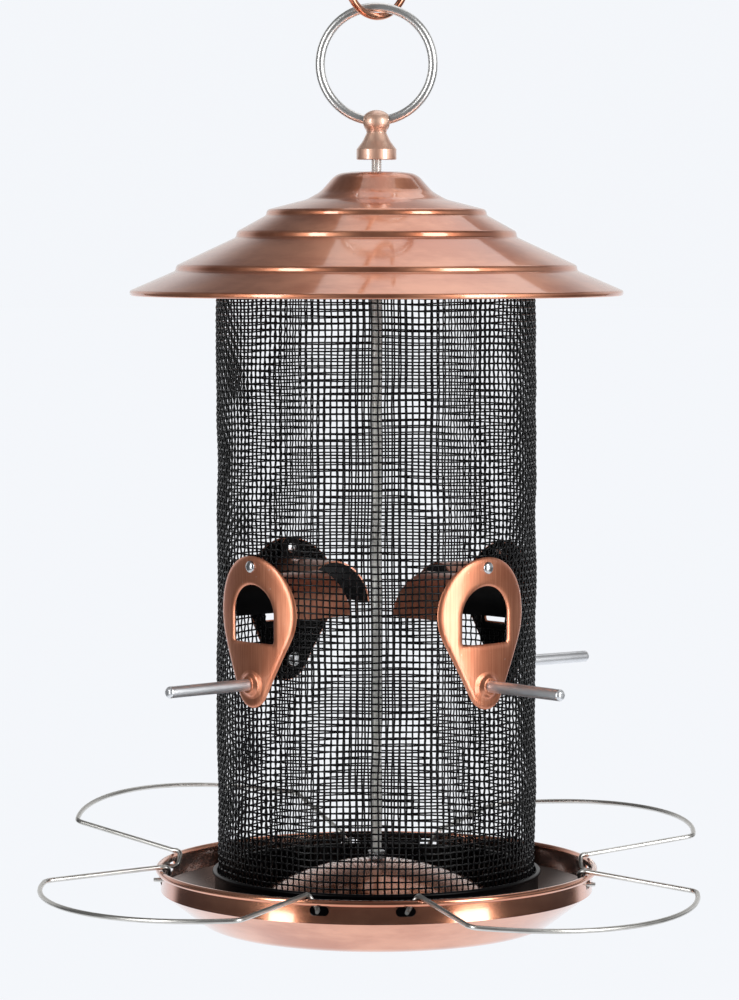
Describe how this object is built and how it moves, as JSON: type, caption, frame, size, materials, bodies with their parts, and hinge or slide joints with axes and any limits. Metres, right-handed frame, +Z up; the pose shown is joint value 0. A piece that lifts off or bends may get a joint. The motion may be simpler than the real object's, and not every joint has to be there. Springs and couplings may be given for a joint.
{
  "type": "bird feeder",
  "caption": "Hanging mesh-tube bird feeder with a stepped roof, hooded feeding ports with perches, a seed tray ringed with wire perches, and a hanging ring and hook.",
  "frame": {"origin": "middle of the ring-shaped flat under the tray, which the feeder stands on", "axes": "+Z up along the centre rod; the ports and wire perches face -Y, +X, +Y and -X"},
  "size_m": [0.3563, 0.3577, 0.5164],
  "materials": {
    "copper": "brushed copper plate, satin, lacquered",
    "black_enamel": "gloss black",
    "black_mesh": "black-coated woven wire, semi-gloss",
    "bright_steel": "polished, plated",
    "wire_steel": "plain drawn wire",
    "steel_rod": "zinc-plated thread",
    "zinc": "zinc plate",
    "aluminium": "drawn, satin"
  },
  "bodies": {
    "feeder": {"tray": "copper", "base_collar": "black_enamel", "tube_mesh": "black_mesh", "top_band": "black_enamel", "centre_rod": "steel_rod", "dome_nut": "zinc", "bottom_washer": "zinc", "bottom_nut": "zinc", "port_plate_1": "copper", "port_plate_2": "copper", "port_plate_3": "copper", "port_plate_4": "copper", "port_hood_1": "copper", "port_hood_2": "copper", "port_hood_3": "copper", "port_hood_4": "copper", "port_rivet_1": "zinc", "port_rivet_2": "zinc", "port_rivet_3": "zinc", "port_rivet_4": "zinc", "perch_1": "aluminium", "perch_2": "aluminium", "perch_3": "aluminium", "perch_4": "aluminium", "perch_nut_1": "zinc", "perch_nut_2": "zinc", "perch_nut_3": "zinc", "perch_nut_4": "zinc"},
    "roof": {"roof": "copper"},
    "finial": {"finial": "copper"},
    "ring": {"hanging_ring": "bright_steel"},
    "hook": {"hanging_hook": "copper"},
    "wire_perch_1": {"wire_perch_1": "wire_steel"},
    "wire_perch_2": {"wire_perch_2": "wire_steel"},
    "wire_perch_3": {"wire_perch_3": "wire_steel"},
    "wire_perch_4": {"wire_perch_4": "wire_steel"}
  },
  "joints": [
    {"name": "roof_lift", "type": "slide", "parent": "feeder", "child": "roof", "axis": [0, 0, 1], "range_m": [0, 0.0053]},
    {"name": "finial_turn", "type": "hinge", "parent": "feeder", "child": "finial", "pos_m": [0, 0, 0.37], "axis": [0, 0, 1], "continuous": true},
    {"name": "ring_swing", "type": "hinge", "parent": "finial", "child": "ring", "pos_m": [0, 0, 0.38315], "axis": [0.7071, 0.7071, 0], "range_deg": [-105, 105]},
    {"name": "hook_swing", "type": "hinge", "parent": "ring", "child": "hook", "pos_m": [0, 0, 0.43715], "axis": [-0.7071, -0.7071, 0], "range_deg": [-60, 60]},
    {"name": "wire_fold_1", "type": "hinge", "parent": "feeder", "child": "wire_perch_1", "pos_m": [0, -0.08556, 0.0231], "axis": [-1, 0, 0], "range_deg": [0, 40]},
    {"name": "wire_fold_2", "type": "hinge", "parent": "feeder", "child": "wire_perch_2", "pos_m": [0.08556, 0, 0.0231], "axis": [0, -1, 0], "range_deg": [0, 40]},
    {"name": "wire_fold_3", "type": "hinge", "parent": "feeder", "child": "wire_perch_3", "pos_m": [0, 0.08556, 0.0231], "axis": [1, 0, 0], "range_deg": [0, 40]},
    {"name": "wire_fold_4", "type": "hinge", "parent": "feeder", "child": "wire_perch_4", "pos_m": [-0.08556, 0, 0.0231], "axis": [0, 1, 0], "range_deg": [0, 40]}
  ]
}
